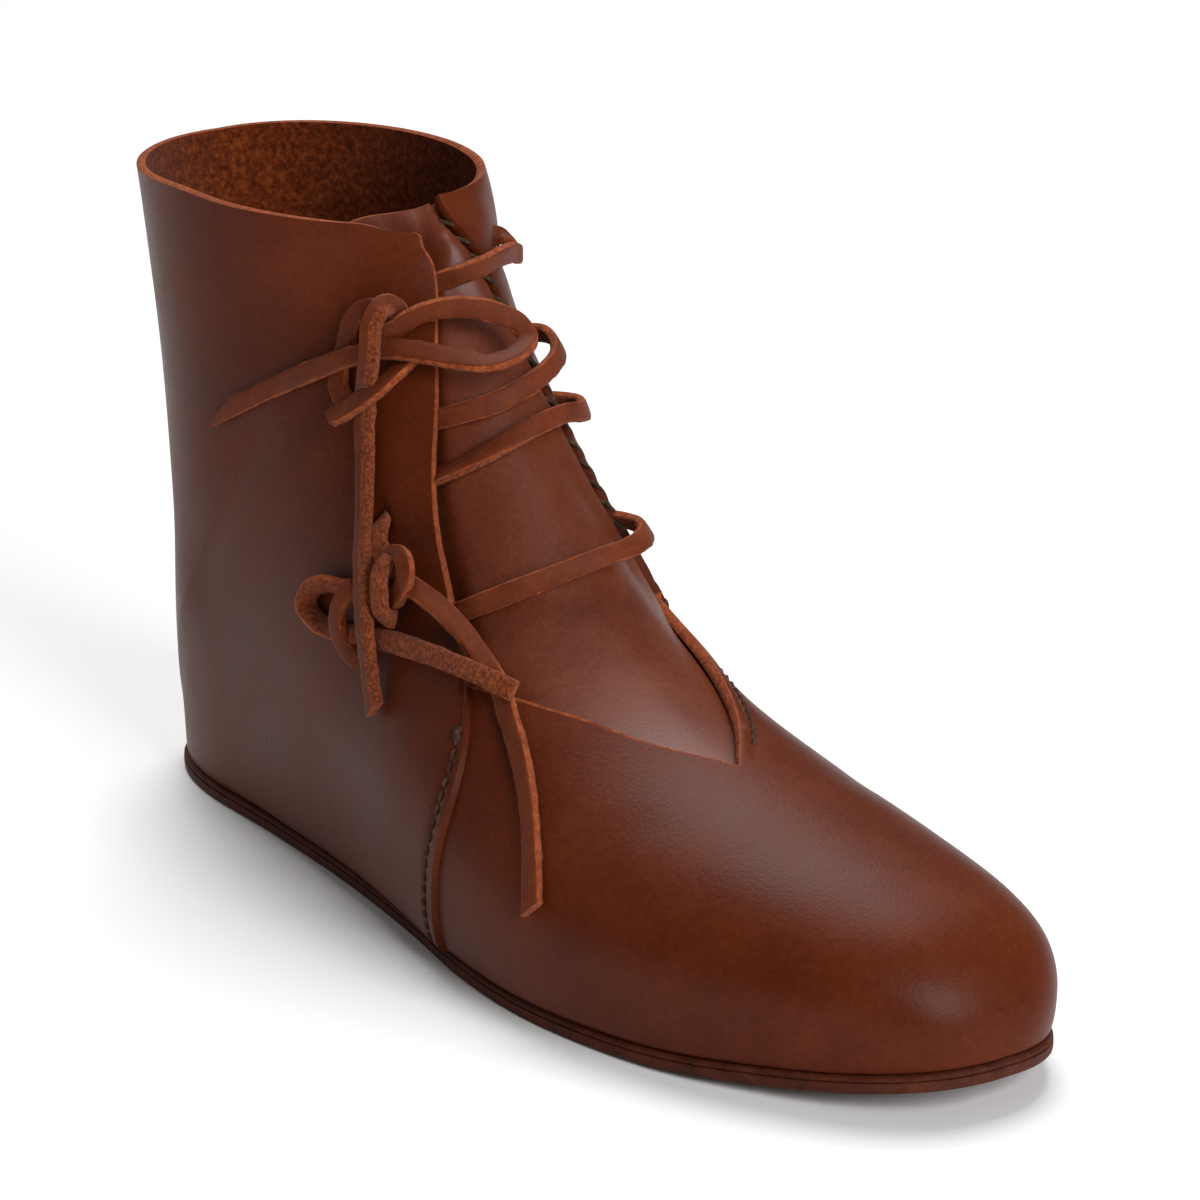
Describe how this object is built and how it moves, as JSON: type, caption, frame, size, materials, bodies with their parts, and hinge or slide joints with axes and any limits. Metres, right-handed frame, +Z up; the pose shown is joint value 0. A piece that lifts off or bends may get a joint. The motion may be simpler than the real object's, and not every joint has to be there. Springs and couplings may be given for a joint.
{
  "type": "medieval shoe",
  "caption": "Ankle-high leather turn shoe for the right foot, with a V-cut vamp, lapped side seams, gusset tongue and leather thongs tied on the outer side.",
  "frame": {"origin": "middle of the shoe's box in plan, on the floor under the sole", "axes": "+Z up, toe towards -Y, outer side towards -X, inner side towards +X"},
  "size_m": [0.0979, 0.297, 0.1593],
  "materials": {
    "sole_leather": "firm waxed sole leather, matt",
    "insole_leather": "undyed flesh side, rough and matt",
    "upper_leather": "smooth red-brown grain leather, satin",
    "tongue_leather": "smooth red-brown grain leather, satin",
    "thong_leather": "cut thong, smooth on one face and rough orange flesh on the other"
  },
  "bodies": {
    "root": {"sole": "sole_leather", "insole": "insole_leather", "upper": "upper_leather", "tongue": "tongue_leather", "lace_bar_1": "thong_leather", "lace_bar_2": "thong_leather", "lace_bar_3": "thong_leather", "lace_bar_4": "thong_leather", "lace_upper_knot": "thong_leather", "lace_upper_loop": "thong_leather", "lace_upper_end_left": "thong_leather", "lace_upper_end_short": "thong_leather", "lace_upper_end_long": "thong_leather", "lace_lower_knot": "thong_leather", "lace_lower_loop": "thong_leather", "lace_lower_end": "thong_leather"}
  },
  "joints": []
}
